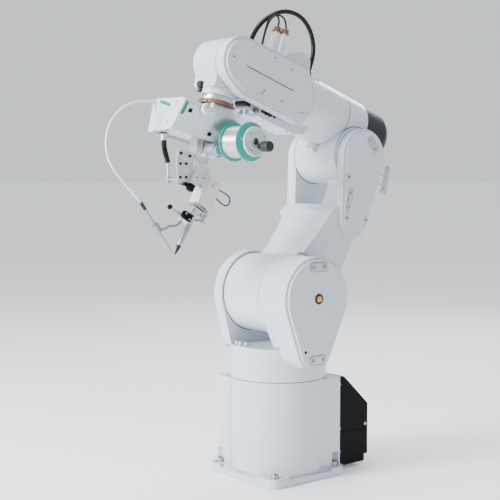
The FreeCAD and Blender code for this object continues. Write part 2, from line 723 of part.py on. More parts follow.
FEEDER_X = (-42.0, 113.0)
KNOB = (66.0, -117.0)
KNOB_FACE = 57.5
FEED_MOTOR = (2.0, -184.0)


def feeder_housing():
    x0, x1 = FEEDER_X
    outer = slab("yz", x0, x1, [(-58, -104, 6), (-56, -173), (24, -168), (30, -154, 4), (56, -105, 8)])
    inner = slab("yz", x0 + 3, x1 - 3, [(-55, -107, 4), (-53, -180), (20, -180), (26.6, -154), (51, -108, 6)])
    return outer.cut(inner).cut(cyl(8, (KNOB[0], 40, KNOB[1]), (KNOB[0], 60, KNOB[1])))


def feeder_base_plate():
    """Floor of the feeder, with the saddle that the feed motor hangs in."""
    x0, x1 = FEEDER_X
    floor = slab("yz", x0 + 3, x1 - 3, [(-53.3, -163), (-53.2, -167), (21.5, -167), (23, -163)])
    saddle = box(FEED_MOTOR[0] - 13, FEED_MOTOR[0] + 13, -12, 12, -176, -167)
    return join(floor, saddle).cut(feed_motor())


def feeder_side_panel():
    return slab("yz", -41, 28, [(55.6, -107), (57.4, -108), (37, -147), (35.2, -146)])


def feeder_covers():
    return group([feeder_base_plate(), feeder_side_panel()])


def drive_block():
    """Drive block of the wire feeder, inside the housing."""
    block = box(20, 90, -34, 10, -163, -118)
    return block.cut(box(30, 80, -20, 11, -150, -118))


def feed_rollers():
    return group([cyl(9, (46, -20, -140), (46, -8, -140)), cyl(9, (65, -20, -140), (65, -8, -140))])


def feed_motor():
    x, z = FEED_MOTOR
    return join(cyl(15, (x, -24, z), (x, 40, z)), cyl(11, (x, 40, z), (x, 46, z)))


def knob_boss():
    x, z = KNOB
    return cyl(8, (x, 44, z), (x, KNOB_FACE, z)).cut(cyl(3 + FIT, (x, 43, z), (x, KNOB_FACE + 1, z)))


def feed_unit():
    return group([drive_block(), knob_boss()] + feed_rollers().Solids)


def pressure_knob():
    x, z = KNOB
    y = KNOB_FACE + GAP
    dial = cyl(11, (x, y, z), (x, y + 7, z)).cut(box(x - 1, x + 1, y + 6, y + 8, z, z + 10))
    return join(dial, cyl(3, (x, y - 5, z), (x, y, z)))


# Reel of solder wire on a spindle beside the feeder.
REEL = (-19.0, -162.0)
REEL_Y = (58.0, 113.0)


def reel_spindle():
    x, z = REEL
    plate = box(x - 14, x + 7, 27, 31, -176, -158)
    spindle = join(plate, cyl(7, (x, 31, z), (x, 122, z)), cyl(12, (x, 31, z), (x, 54, z)))
    return spindle.cut(feeder_housing())


def reel_flange(y):
    x, z = REEL
    flange = ring(39, 7 + FIT, (x, y, z), (x, y + 2, z))
    for k in range(6):
        s, c = turn(60 * k)
        flange = flange.cut(cyl(4, (x + 24 * c, y - 1, z + 24 * s), (x + 24 * c, y + 3, z + 24 * s)))
    return flange


def solder_winding():
    x, z = REEL
    return ring(33, 12, (x, REEL_Y[0] + 2, z), (x, REEL_Y[1] - 2, z))


def solder_reel():
    x, z = REEL
    core = ring(12, 7 + FIT, (x, REEL_Y[0] + 2, z), (x, REEL_Y[1] - 2, z))
    return join(reel_flange(REEL_Y[0]), core, reel_flange(REEL_Y[1] - 2))


def reel_clamp_knob():
    """Disc that holds the reel on its spindle, with the knob that turns it."""
    x, z = REEL
    boss = ring(14, 7 + FIT, (x, REEL_Y[1], z), (x, 123, z))
    disc = cyl(30, (x, 123, z), (x, 128, z))
    kx, kz = x - 12, z - 7
    return join(boss, disc, cyl(6, (kx, 128, kz), (kx, 138, kz)), cyl(11, (kx, 138, kz), (kx, 160, kz)))


# Bracket that hangs the iron under the feeder.
def iron_hanger():
    return box(18, 35, -14, 9, -212, -167)


def bracket_bar():
    bar = box(2, 79, 9, 15, -216, -200)
    for x in (73, 50):
        bar = bar.cut(cyl(2.2, (x, 8, -208), (x, 16, -208)))
    return bar


def bracket_screws():
    return heads([(24, 15, -208), (36, 15, -208)], (0, 1, 0), 3, 2.4)


def bracket_plate():
    """Upright plate, built level: origin on J5."""
    plate = slab("xz", 4, 9, [(86, -249, 3), (125, -249, 3), (125, -178, 3), (86, -190, 3)])
    for x in (104, 118):
        for z in (-205, -232):
            plate = plate.cut(cyl(2.2, (x, 3, z), (x, 10, z)))
    return plate


HOSE_X, HOSE_Y = 109.6, -45.0


def hose_gland():
    """Threaded gland under the feeder, built level: origin on J5."""
    return cyl(8, (119.5, HOSE_Y, -157), (119.5, HOSE_Y, -144))


def hose_end_fitting():
    """Rod, fork and cross pin at the lower end of the hose, built level: origin on J5."""
    rod = cyl(2.5, (HOSE_X, HOSE_Y, -232), (HOSE_X, HOSE_Y, -204))
    collar = cyl(5, (HOSE_X, HOSE_Y, -209), (HOSE_X, HOSE_Y, -204))
    fork = box(HOSE_X - 5, HOSE_X + 5, HOSE_Y - 5, HOSE_Y + 5, -244, -230)
    pin = cyl(2.5, (HOSE_X, HOSE_Y, -236), (HOSE_X, 4, -236))
    return join(rod, collar, fork, pin)


HOSE_ROUTE = ((119.5, HOSE_Y, -157.2), (119.5, HOSE_Y, -169), (117, HOSE_Y, -181), (112.5, HOSE_Y, -192.5),
              (110, HOSE_Y, -202.4))


# Soldering iron, built in its own frame: origin on the tip, +Z up the iron's axis.
IRON_FROM_J5 = (126.0, -387.0)
IRON_TIP = (WRIST[0] + IRON_FROM_J5[0], WRIST[1] + IRON_FROM_J5[1])


def iron_tip():
    return join(cone(1.2, 5, (0, 0, 0), (0, 0, 20)), cyl(4, (0, 0, 20), (0, 0, 34)))


def iron_barrel():
    barrel = cyl(6.2, (0, 0, 20), (0, 0, 115)).cut(cyl(4, (0, 0, 19), (0, 0, 34)))
    return join(barrel, cyl(7.6, (0, 0, 96), (0, 0, 115)))


def split_clamp():
    clamp = slab("xy", 88, 104, [(-14, -12, 3), (17, -12, 3), (17, 12, 3), (-14, 12, 3)])
    clamp = clamp.cut(cyl(6.2, (0, 0, 87), (0, 0, 97))).cut(cyl(7.6, (0, 0, 96), (0, 0, 105)))
    return clamp.cut(box(-15, -4, -1, 1, 87, 105))


def clamp_screws():
    return heads([(x, 12, 96) for x in (-9, 11)], (0, 1, 0), 2.6, 2.4)


def holder_block():
    block = slab("xz", -15, 15, [(-24, 115, 4), (14, 115, 3), (17, 168, 4), (-20, 176, 6)])
    return block.cut(cyl(7.6, (0, 0, 114), (0, 0, 115.5)))


def iron_holder():
    return join(holder_block(), cyl(8, (-10, 15, 160), (-10, 18.5, 160)))


def slide_rail():
    rail = box(28, 52, 9, 27, 136, 182)
    for k in range(5):
        rail = rail.cut(box(27, 53, 25, 28, 140 + 9 * k, 143 + 9 * k))
    return rail


def iron_slide():
    return group([slide_rail(), box(17, 28, -10, 27, 140, 172)])


def guide_block():
    block = box(2, 28, -9, 9, 68, 84).cut(cyl(6.2, (0, 0, 67), (0, 0, 85)))
    return block.cut(cyl(2.2 + FIT, (16, 0, 76), (29, 0, 76)))


def iron_clamp():
    return group([split_clamp(), guide_block()] + clamp_screws().Solids)


def guide_adjust_knob():
    rod = cyl(2.2, (16.5, 0, 76), (54, 0, 76))
    return join(rod, Part.makeSphere(4.8, Vector(57, 0, 76)))


GUIDE_LOW = (12.7, 1.7)
GUIDE_TOP = (124.9, 48.6)


def on_guide(share):
    """A point part of the way up the feed guide tube."""
    return (GUIDE_LOW[0] + share * (GUIDE_TOP[0] - GUIDE_LOW[0]), 0,
            GUIDE_LOW[1] + share * (GUIDE_TOP[1] - GUIDE_LOW[1]))


def guide_rod():
    """A bent rod from the guide block to the clamp on the tube."""
    solid = tube([(20.3, 0, 67.1), (26, 0, 50), (41, 0, 43), (49, 0, 30), (61, 0, 25.5)], 5.5)[0]
    return solid.cut(cyl(8, on_guide(0.40), on_guide(0.54)))


def guide_clamp():
    return ring(8, 1.7, on_guide(0.40), on_guide(0.54))


def guide_tube():
    lower = cyl(1.7, on_guide(0.0), on_guide(0.55))
    upper = cyl(2.7, on_guide(0.54), on_guide(0.85))
    return join(lower, upper)


def guide_arm():
    sleeve = cyl(3.4, on_guide(0.85), on_guide(1.0))
    return group([guide_rod(), guide_clamp(), join(guide_tube(), sleeve)])


# ---------------------------------------------------------------- cords and cables
LOOP_ROUTE = ((-50, 0, 64), (-52, 0, 88), (-62, 0, 117), (-80, 0, 143), (-105, 0, 165), (-134, 0, 178),
              (-164, 0, 180), (-190, 0, 170), (-211, 0, 151), (-223, 0, 126), (-226, 0, 100), (-224, 0, 78.6))
INNER_ROUTE = ((-73, 12, 62.4), (-71.3, 12, 82), (-70.8, 12, 102), (-71.3, 12, 122), (-72.5, 12, 139.5),
               (-81, 12, 148), (-92.8, 12, 148), (-101, 12, 139.8), (-101, 12, 128.8))
OUTER_ROUTE = ((-68, 21, 62.4), (-65.5, 21, 84), (-65.5, 21, 106), (-69, 21, 128), (-81, 21, 145),
               (-99, 21, 149), (-112, 21, 141), (-116, 21, 129.4))
SMALL_LOOP_ROUTE = ((-24.3, 0, 166), (-33, 0, 168.2), (-43, 0, 169.7), (-53, 0, 170), (-62.3, 0, 169),
                    (-68.5, 0, 162.8), (-68.5, 0, 154.2), (-62.3, 0, 148), (-53, 0, 147.2), (-43, 0, 147.6),
                    (-33, 0, 149), (-24.3, 0, 151))
FEED_ROUTE = ((142.2, -52.5, -79), (164, -51.5, -78.7), (190, -47, -82), (218, -41, -92), (243, -35, -109),
              (262, -28, -130), (273, -22, -155), (276, -17, -182), (270, -11, -208), (254, -6, -232),
              (232, -2, -256), (208.5, 0, -280.3))


def feed_tube_gland():
    """Push-in fitting for the feed tube, built level: origin on J5."""
    return cyl(4.5, (134, -52.5, -79), (142, -52.5, -79))


# ---------------------------------------------------------------- write-out
def write_level(makers):
    """Nodes that are drawn where they lie."""
    for make in makers:
        save(make.__name__, make())


def write_leaning(makers, origin, angle):
    """Nodes of one link, drawn in the link's own frame."""
    for make in makers:
        save(make.__name__, lean(make(), origin, angle))


def iron_bracket():
    """Hanger, bar and screws tip with the tool; the plate hangs upright."""
    tipped = group([iron_hanger(), bracket_bar()] + bracket_screws().Solids)
    return group(lean(tipped, WRIST, TOOL_TILT).Solids + [lean(bracket_plate(), WRIST, 0)])


def tube_fittings():
    """Hose gland, hose end and feed tube fitting, trimmed where they meet the feeder."""
    upright = [lean(make(), WRIST, 0) for make in (hose_end_fitting, hose_gland, feed_tube_gland)]
    feeder = [lean(make(), WRIST, TOOL_TILT) for make in (feeder_housing, feeder_base_plate)]
    trimmed = [piece.cut(feeder[0]).cut(feeder[1]) for piece in upright]
    return group([max(piece.Solids, key=lambda solid: -solid.BoundBox.ZMin) for piece in trimmed])


def write_cord(name, route, origin, angle, diameter):
    save_cord(name, [lean_point(point, origin, angle) for point in route], diameter)


write_level([base_casting, connector_box, connector_panel, j1_motor, j1_reducer])
write_level([turret_casting, shoulder_motor_cover, turret_hardware, j2_motor, j2_reducer])
write_leaning([j2_shafts, lower_arm_casting, elbow_motor_cover, elbow_cover_hardware,
               j3_motor, j3_belt_drive, j3_reducer], SHOULDER, UPPER_LEAN)
write_leaning([j3_shafts, elbow_housing, elbow_rear_cover, j4_motor, j4_reducer], WRIST, FOREARM_RISE)
write_leaning([forearm_casting, forearm_side_cover, forearm_screws, j5_motor, j5_belt_drive, j5_reducer,
               forearm_underside_cover, valve_block, cable_connectors, connector_block,
               cable_glands], WRIST, FOREARM_RISE)
write_cord("forearm_loop_cable", LOOP_ROUTE, WRIST, FOREARM_RISE, 10)
write_cord("inner_connector_cable", INNER_ROUTE, WRIST, FOREARM_RISE, 4)
write_cord("outer_connector_cable", OUTER_ROUTE, WRIST, FOREARM_RISE, 4)
write_leaning([wrist_housing, j6_motor], WRIST, TOOL_TILT)
write_leaning([tool_flange, feeder_housing, feeder_covers, feed_unit, feed_motor, pressure_knob,
               reel_spindle, solder_reel, solder_winding, reel_clamp_knob], WRIST, TOOL_TILT)
write_level([iron_bracket, tube_fittings])
write_cord("protective_hose", HOSE_ROUTE, WRIST, 0, 12)
write_cord("feed_tube", FEED_ROUTE, WRIST, 0, 4)
write_leaning([iron_tip, iron_barrel, iron_clamp, iron_holder, iron_slide, guide_arm,
               guide_adjust_knob], IRON_TIP, IRON_TILT)
write_cord("iron_lead", SMALL_LOOP_ROUTE, IRON_TIP, IRON_TILT, 3)
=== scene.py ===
"""Looks of the six-axis soldering robot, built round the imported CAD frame."""

import json
import math

import bmesh
import bpy
from mathutils import Matrix, Vector


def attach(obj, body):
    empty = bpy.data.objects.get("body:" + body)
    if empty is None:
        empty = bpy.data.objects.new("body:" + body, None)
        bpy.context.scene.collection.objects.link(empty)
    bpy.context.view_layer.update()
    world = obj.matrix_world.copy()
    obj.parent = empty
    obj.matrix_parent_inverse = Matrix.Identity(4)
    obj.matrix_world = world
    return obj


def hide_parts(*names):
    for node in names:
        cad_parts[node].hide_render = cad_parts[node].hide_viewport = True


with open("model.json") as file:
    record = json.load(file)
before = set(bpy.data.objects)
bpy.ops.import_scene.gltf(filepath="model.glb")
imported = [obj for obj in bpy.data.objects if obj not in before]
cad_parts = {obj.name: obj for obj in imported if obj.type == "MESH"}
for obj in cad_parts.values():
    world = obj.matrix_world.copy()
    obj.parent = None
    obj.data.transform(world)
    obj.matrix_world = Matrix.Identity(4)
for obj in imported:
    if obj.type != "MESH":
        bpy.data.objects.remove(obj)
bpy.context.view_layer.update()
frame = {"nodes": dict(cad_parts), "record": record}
NODES = frame["nodes"]

MM = 0.001
# Axes in the XZ plane in millimetres, link lengths, and the rest angles in degrees
SHOULDER = (30.0, 395.0)
UPPER_LENGTH = 355
FOREARM_LENGTH = 361
FOREARM_OFFSET = 69
UPPER_LEAN = 33.6
FOREARM_RISE = 19.5
TOOL_TILT = 14.0
IRON_TILT = 31.0
LEAN = math.radians(UPPER_LEAN)
RISE = math.radians(FOREARM_RISE)
ELBOW = (SHOULDER[0] - UPPER_LENGTH * math.sin(LEAN), SHOULDER[1] + UPPER_LENGTH * math.cos(LEAN))
WRIST = (ELBOW[0] + FOREARM_LENGTH * math.cos(RISE) - FOREARM_OFFSET * math.sin(RISE),
         ELBOW[1] + FOREARM_LENGTH * math.sin(RISE) + FOREARM_OFFSET * math.cos(RISE))
IRON_TIP = (WRIST[0] + 126, WRIST[1] - 387)


def link(origin, angle):
    """Placement of a link's own frame, whose drawings are in millimetres."""
    place = Matrix.Translation((origin[0] * MM, 0, origin[1] * MM))
    return place @ Matrix.Rotation(-math.radians(angle), 4, "Y")


WORLD = Matrix.Identity(4)
ARM = link(SHOULDER, UPPER_LEAN)
FORE = link(WRIST, FOREARM_RISE)
TOOL = link(WRIST, TOOL_TILT)
LEVEL = link(WRIST, 0)
IRON = link(IRON_TIP, IRON_TILT)

# ---------------------------------------------------------------- camera
CAMERA_PLACE = (1.6086, 1.8380, 0.6549)
CAMERA_LENS = 81.3
heading, pitch = math.radians(230.26), math.radians(-3.96)
camera = bpy.data.objects.new("camera", bpy.data.cameras.new("camera"))
bpy.context.scene.collection.objects.link(camera)
camera.location = CAMERA_PLACE
look = Vector((math.cos(heading) * math.cos(pitch), math.sin(heading) * math.cos(pitch), math.sin(pitch)))
camera.rotation_mode = "QUATERNION"
camera.rotation_quaternion = look.to_track_quat("-Z", "Y")
camera.data.sensor_width = 36
camera.data.lens = CAMERA_LENS
camera.data.clip_end = 200
bpy.context.scene.camera = camera


# ---------------------------------------------------------------- materials
def surface(name, color, rough, metal=0.0, vary=0.05, scale=18.0, grain=600.0, bump=0.04, coat=0.0,
            stretch=(1, 1, 1), spread=0.05, edge=0.0012, clear=0.0, specular=0.5):
    """A procedural finish: colour and gloss vary softly, with a fine grain and eased edges."""
    material = bpy.data.materials.new(name)
    material.use_nodes = True
    nodes, links = material.node_tree.nodes, material.node_tree.links
    shader = nodes["Principled BSDF"]
    shader.inputs["Metallic"].default_value = metal
    shader.inputs["Coat Weight"].default_value = coat
    shader.inputs["Coat Roughness"].default_value = 0.12
    shader.inputs["Transmission Weight"].default_value = clear
    shader.inputs["Specular IOR Level"].default_value = specular
    place = nodes.new("ShaderNodeTexCoord")
    mapping = nodes.new("ShaderNodeMapping")
    mapping.inputs["Scale"].default_value = stretch
    links.new(place.outputs["Object"], mapping.inputs["Vector"])
    cloud = nodes.new("ShaderNodeTexNoise")
    cloud.inputs["Scale"].default_value = scale
    cloud.inputs["Detail"].default_value = 5
    links.new(mapping.outputs["Vector"], cloud.inputs["Vector"])
    tint = nodes.new("ShaderNodeMix")
    tint.data_type = "RGBA"
    tint.inputs["A"].default_value = (*[c * (1 - vary) for c in color], 1)
    tint.inputs["B"].default_value = (*[min(1, c * (1 + vary)) for c in color], 1)
    links.new(cloud.outputs["Fac"], tint.inputs["Factor"])
    links.new(tint.outputs["Result"], shader.inputs["Base Color"])
    gloss = nodes.new("ShaderNodeMapRange")
    gloss.inputs["To Min"].default_value = max(0.02, rough - spread)
    gloss.inputs["To Max"].default_value = rough + spread
    links.new(cloud.outputs["Fac"], gloss.inputs["Value"])
    links.new(gloss.outputs["Result"], shader.inputs["Roughness"])
    fine = nodes.new("ShaderNodeTexNoise")
    fine.inputs["Scale"].default_value = grain
    fine.inputs["Detail"].default_value = 2
    links.new(mapping.outputs["Vector"], fine.inputs["Vector"])
    rounded = nodes.new("ShaderNodeBevel")
    rounded.samples = 4
    rounded.inputs["Radius"].default_value = edge
    relief = nodes.new("ShaderNodeBump")
    relief.inputs["Strength"].default_value = bump
    relief.inputs["Distance"].default_value = 0.001
    links.new(fine.outputs["Fac"], relief.inputs["Height"])
    links.new(rounded.outputs["Normal"], relief.inputs["Normal"])
    links.new(relief.outputs["Normal"], shader.inputs["Normal"])
    return material


FINISH = {
    "white_paint": surface("white_paint", (0.56, 0.61, 0.675), 0.30, vary=0.012, scale=7, grain=900, bump=0.03,
                           coat=0.3, edge=0.003),
    "dark_box_paint": surface("dark_box_paint", (0.003, 0.0028, 0.0035), 0.55, vary=0.15, grain=1500, bump=0.12,
                              edge=0.0015, specular=0.1),
    "steel_fittings": surface("steel_fittings", (0.60, 0.61, 0.64), 0.32, metal=1, vary=0.10,
                              stretch=(1, 1, 14)),
    "motor_black": surface("motor_black", (0.012, 0.012, 0.014), 0.45, vary=0.12, bump=0.1, specular=0.3),
    "gear_steel": surface("gear_steel", (0.42, 0.43, 0.46), 0.36, metal=1, vary=0.14, stretch=(1, 1, 12)),
    "belt_drive": surface("belt_drive", (0.02, 0.02, 0.02), 0.7, vary=0.2, bump=0.2),
    "dark_plastic": surface("dark_plastic", (0.013, 0.016, 0.020), 0.5, vary=0.12, grain=1400, bump=0.12,
                            specular=0.35),
    "cable_black": surface("cable_black", (0.004, 0.004, 0.0045), 0.4, vary=0.2, grain=700, bump=0.08,
                           edge=0.0002,
                           specular=0.25),
    "connector_white": surface("connector_white", (0.74, 0.73, 0.69), 0.42, vary=0.05, bump=0.06),
    "machined_aluminium": surface("machined_aluminium", (0.66, 0.67, 0.70), 0.34, metal=0.9, vary=0.08,
                                  stretch=(1, 14, 1), bump=0.06),
    "clear_tube": surface("clear_tube", (0.86, 0.88, 0.90), 0.25, vary=0.02, bump=0.02, clear=0.1, edge=0.0002),
    "tip_iron": surface("tip_iron", (0.018, 0.016, 0.015), 0.55, metal=0.4, vary=0.3, scale=160, bump=0.3),
    "beige_plastic": surface("beige_plastic", (0.66, 0.63, 0.57), 0.45, vary=0.06, bump=0.08),
    "guide_steel": surface("guide_steel", (0.30, 0.31, 0.33), 0.34, metal=0.9, vary=0.12, stretch=(12, 1, 1)),
    "teal_plastic": surface("teal_plastic", (0.0, 0.36, 0.285), 0.26, vary=0.10, coat=0.3),
    "solder_wire": surface("solder_wire", (0.72, 0.70, 0.67), 0.30, metal=0.95, vary=0.10, scale=90),
}
AMBER = surface("amber_cap", (0.75, 0.36, 0.05), 0.25, vary=0.08, coat=0.4)
GREEN = surface("green_bar", (0.0, 0.19, 0.11), 0.40, vary=0.08, specular=0.3)
BROWN = surface("brown_plug", (0.17, 0.085, 0.055), 0.45, vary=0.12, bump=0.08)
# one near-black finish with two uses: painted shade in screw sockets, round screw heads, in the drain hole and
# the feeder slots, and the real black of joint lines, the dial pointer and the clamp parts
SHADE_AND_BLACK = surface("painted_shade_and_black", (0.004, 0.004, 0.005), 0.7, vary=0.2, specular=0.1)
STRIPE = surface("stripe_grey", (0.03, 0.033, 0.038), 0.45, vary=0.08, specular=0.3)
PALE = surface("reel_disc_face", (0.62, 0.64, 0.66), 0.30, metal=0.5, vary=0.06, stretch=(1, 1, 9))

for entry in frame["record"]["subparts"]:
    for place in NODES[entry["node"]].material_slots:
        place.material = FINISH[entry["material_slot"]]


# ---------------------------------------------------------------- mesh tools
def finish_piece(name, mesh, material, body, matrix=WORLD, soften=0.0, smooth=True):
    """Turn a bmesh drawn in millimetres into a piece that rides on a body."""
    bmesh.ops.remove_doubles(mesh, verts=mesh.verts, dist=0.001)
    bmesh.ops.recalc_face_normals(mesh, faces=mesh.faces)
    data = bpy.data.meshes.new(name)
    mesh.to_mesh(data)
    mesh.free()
    data.transform(matrix @ Matrix.Scale(MM, 4))
    piece = bpy.data.objects.new(name, data)
    bpy.context.scene.collection.objects.link(piece)
    data.materials.append(material)
    if soften:
        bevel = piece.modifiers.new("eased_edges", "BEVEL")
        bevel.width = soften * MM
        bevel.segments = 3
        bevel.limit_method = "ANGLE"
        bevel.angle_limit = math.radians(35)
        bevel.harden_normals = True
    if smooth:
        data.shade_smooth()
        data.set_sharp_from_angle(angle=math.radians(38))
    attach(piece, body)
    return piece


def lathe(mesh, profile, origin, direction, steps=36, ripple=0.0, lobes=0):
    """Turn (radius, height) pairs round an axis; ripple knurls the rim."""
    turn = Vector(direction).normalized().to_track_quat("Z", "Y").to_matrix()
    base = Vector(origin)
    rings = []
    for radius, height in profile:
        if radius <= 1e-6:
            rings.append([mesh.verts.new(base + turn @ Vector((0, 0, height)))])
            continue
        ring = []
        for k in range(steps):
            t = 2 * math.pi * k / steps
            r = radius + ripple * math.cos(lobes * t)
            ring.append(mesh.verts.new(base + turn @ Vector((r * math.cos(t), r * math.sin(t), height))))
        rings.append(ring)
    for low, high in zip(rings, rings[1:]):
        for k in range(steps):
            j = (k + 1) % steps
            corners = [low[k % len(low)], low[j % len(low)], high[j % len(high)], high[k % len(high)]]
            unique = list(dict.fromkeys(corners))
            if len(unique) > 2:
                mesh.faces.new(unique)
    return mesh


def prism(mesh, plane, low, high, outline):
    """Extrude an outline: xz is drawn along Y, xy along Z, yz along X."""
    def at(a, b, level):
        return {"xz": (a, level, b), "xy": (a, b, level), "yz": (level, a, b)}[plane]
    bottom = [mesh.verts.new(at(a, b, low)) for a, b in outline]
    top = [mesh.verts.new(at(a, b, high)) for a, b in outline]
    mesh.faces.new(bottom)
    mesh.faces.new(top)
    count = len(outline)
    for k in range(count):
        j = (k + 1) % count
        mesh.faces.new([bottom[k], bottom[j], top[j], top[k]])
    return mesh


def spline(points, count):
    """Points of a clamped quadratic B-spline through its control points' hull."""
    control = [Vector(p) for p in points]
    spans = len(control) - 2
    found = []
    for k in range(count + 1):
        u = min(k / count * spans, spans - 1e-9)
        i = int(u)
        t = u - i
        a, b, c = control[i], control[i + 1], control[i + 2]
        start = a if i == 0 else (a + b) / 2
        end = c if i == spans - 1 else (b + c) / 2
        found.append(start * (1 - t) ** 2 + b * 2 * t * (1 - t) + end * t * t)
    return found


def hose(mesh, path, radius_at, steps=20):
    """Skin a tube round a path with a radius that changes along it."""
    rings = []
    side = Vector((0, 1, 0))
    for k, point in enumerate(path):
        ahead = (path[min(k + 1, len(path) - 1)] - path[max(k - 1, 0)]).normalized()
        across = side.cross(ahead).normalized()
        up = ahead.cross(across)
        r = radius_at(k)
        rings.append([mesh.verts.new(point + r * (across * math.cos(2 * math.pi * j / steps)
                                                  + up * math.sin(2 * math.pi * j / steps)))
                      for j in range(steps)])
    for low, high in zip(rings, rings[1:]):
        for j in range(steps):
            mesh.faces.new([low[j], low[(j + 1) % steps], high[(j + 1) % steps], high[j]])
    mesh.faces.new(rings[0])
    mesh.faces.new(rings[-1])
    return mesh


def cap_screw(mesh, point, direction, radius, height):
    """A socket cap screw head with a recessed hexagon."""
    profile = [(radius, 0), (radius, height * 0.8), (radius * 0.86, height), (radius * 0.55, height)]
    lathe(mesh, profile, point, direction, 24)
    lathe(mesh, [(radius * 0.55, height), (radius * 0.55, height * 0.35), (0, height * 0.35)], point,
          direction, 6)
    return mesh


def socket_shade(name, points, radius, body, matrix=WORLD, direction=(0, 1, 0)):
    """Painted shade at screws: a dark hexagon over each socket's hollow, and a painted shadow ring round screw
    heads that the frame already has.
    """
    socket_shade_mesh = bmesh.new()
    for point in points:
        lathe(socket_shade_mesh, [(radius * 0.5, 0.06), (0, 0.06)], point, direction, 6)
        lathe(socket_shade_mesh, [(radius * 1.02, -1.5), (radius * 1.28, -1.45), (radius * 1.28, -1.5)], point, direction,
              28)
    return finish_piece(name, socket_shade_mesh, SHADE_AND_BLACK, body, matrix, smooth=False)


def oblong(x, y, half_x, half_y):
    """A rectangle's corners round its middle."""
    return [(x - half_x, y - half_y), (x + half_x, y - half_y), (x + half_x, y + half_y),
            (x - half_x, y + half_y)]


def frame_line(mesh, plane, level, outline, width, lift=0.25):
    """A thin dark joint line round an outline."""
    count = len(outline)
    for k in range(count):
        a, b = Vector(outline[k]), Vector(outline[(k + 1) % count])
        ahead = (b - a).normalized() * width / 2
        side = Vector((-ahead.y, ahead.x))
        corners = [a - ahead + side, b + ahead + side, b + ahead - side, a - ahead - side]
        prism(mesh, plane, level, level + lift, [tuple(c) for c in corners])
    return mesh


def rounded(corners, radius, steps=6):
    """An outline with every corner rounded off."""
    found = []
    count = len(corners)
    for k in range(count):
        here = Vector(corners[k])
        back = (Vector(corners[k - 1]) - here).normalized() * radius
        ahead = (Vector(corners[(k + 1) % count]) - here).normalized() * radius
        for i in range(steps + 1):
            t = i / steps
            found.append(tuple(here + back * (1 - t) ** 2 + ahead * t ** 2))
    return found


# ---------------------------------------------------------------- cords
def cord(name, route, matrix, diameter, material, body):
    """A cord along its route, in place of the CAD node that has its name without _line."""
    data = bpy.data.curves.new(name, "CURVE")
    data.dimensions = "3D"
    data.bevel_depth = diameter / 2
    data.bevel_resolution = 6
    data.resolution_u = 16
    data.use_fill_caps = True
    line = data.splines.new("NURBS")
    line.points.add(len(route) - 1)
    for spot, point in zip(line.points, route):
        spot.co = (*(matrix @ (Vector(point) * MM)), 1)
    line.order_u = 3
    line.use_endpoint_u = True
    piece = bpy.data.objects.new(name, data)
    bpy.context.scene.collection.objects.link(piece)
    data.materials.append(material)
    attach(piece, body)
    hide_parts(name.replace("_line", ""))
    return piece


LOOP_ROUTE = ((-50, 0, 64), (-52, 0, 88), (-62, 0, 117), (-80, 0, 143), (-105, 0, 165), (-134, 0, 178),
              (-164, 0, 180), (-190, 0, 170), (-211, 0, 151), (-223, 0, 126), (-226, 0, 100), (-224, 0, 78.6))
INNER_ROUTE = ((-73, 12, 62.4), (-71.3, 12, 82), (-70.8, 12, 102), (-71.3, 12, 122), (-72.5, 12, 139.5),
               (-81, 12, 148), (-92.8, 12, 148), (-101, 12, 139.8), (-101, 12, 128.8))
OUTER_ROUTE = ((-68, 21, 62.4), (-65.5, 21, 84), (-65.5, 21, 106), (-69, 21, 128), (-81, 21, 145),
               (-99, 21, 149), (-112, 21, 141), (-116, 21, 129.4))
SMALL_LOOP_ROUTE = ((-24.3, 0, 166), (-33, 0, 168.2), (-43, 0, 169.7), (-53, 0, 170), (-62.3, 0, 169),
                    (-68.5, 0, 162.8), (-68.5, 0, 154.2), (-62.3, 0, 148), (-53, 0, 147.2), (-43, 0, 147.6),
                    (-33, 0, 149), (-24.3, 0, 151))
FEED_ROUTE = ((142.2, -52.5, -79), (164, -51.5, -78.7), (190, -47, -82), (218, -41, -92), (243, -35, -109),
              (262, -28, -130), (273, -22, -155), (276, -17, -182), (270, -11, -208), (254, -6, -232),
              (232, -2, -256), (208.5, 0, -280.3))
HOSE_ROUTE = ((119.5, -45, -157.2), (119.5, -45, -169), (117, -45, -181), (112.5, -45, -192.5),
              (110, -45, -202.4))

BLACK = FINISH["cable_black"]
cord("forearm_loop_cable_line", LOOP_ROUTE, FORE, 0.010, BLACK, "forearm")
cord("inner_connector_cable_line", INNER_ROUTE, FORE, 0.004, BLACK, "forearm")
cord("outer_connector_cable_line", OUTER_ROUTE, FORE, 0.004, BLACK, "forearm")
cord("iron_lead_line", SMALL_LOOP_ROUTE, IRON, 0.003, BLACK, "tool")
cord("feed_tube_line", FEED_ROUTE, LEVEL, 0.004, FINISH["clear_tube"], "tool")


CONDUIT_RADIUS = 5.5
CONDUIT_RIB = 0.55
RIB_STEPS = 6


def corrugation(k):
    """Radius of the ribbed conduit at step k of its path."""
    return CONDUIT_RADIUS + CONDUIT_RIB * math.cos(2 * math.pi * k / RIB_STEPS)


conduit = hose(bmesh.new(), spline(HOSE_ROUTE, 102), corrugation)
conduit = finish_piece("conduit_ribs", conduit, BLACK, "tool", LEVEL)
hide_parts("protective_hose")

# ---------------------------------------------------------------- base and shoulder
mesh = bmesh.new()
for side in (-1, 1):
    for x, z in ((-107, 40), (-107, 92), (-107, 190), (-188, 92)):
        cap_screw(mesh, (x, 80 * side, z), (0, side, 0), 3.4, 2.2)
finish_piece("box_screws", mesh, FINISH["steel_fittings"], "base")

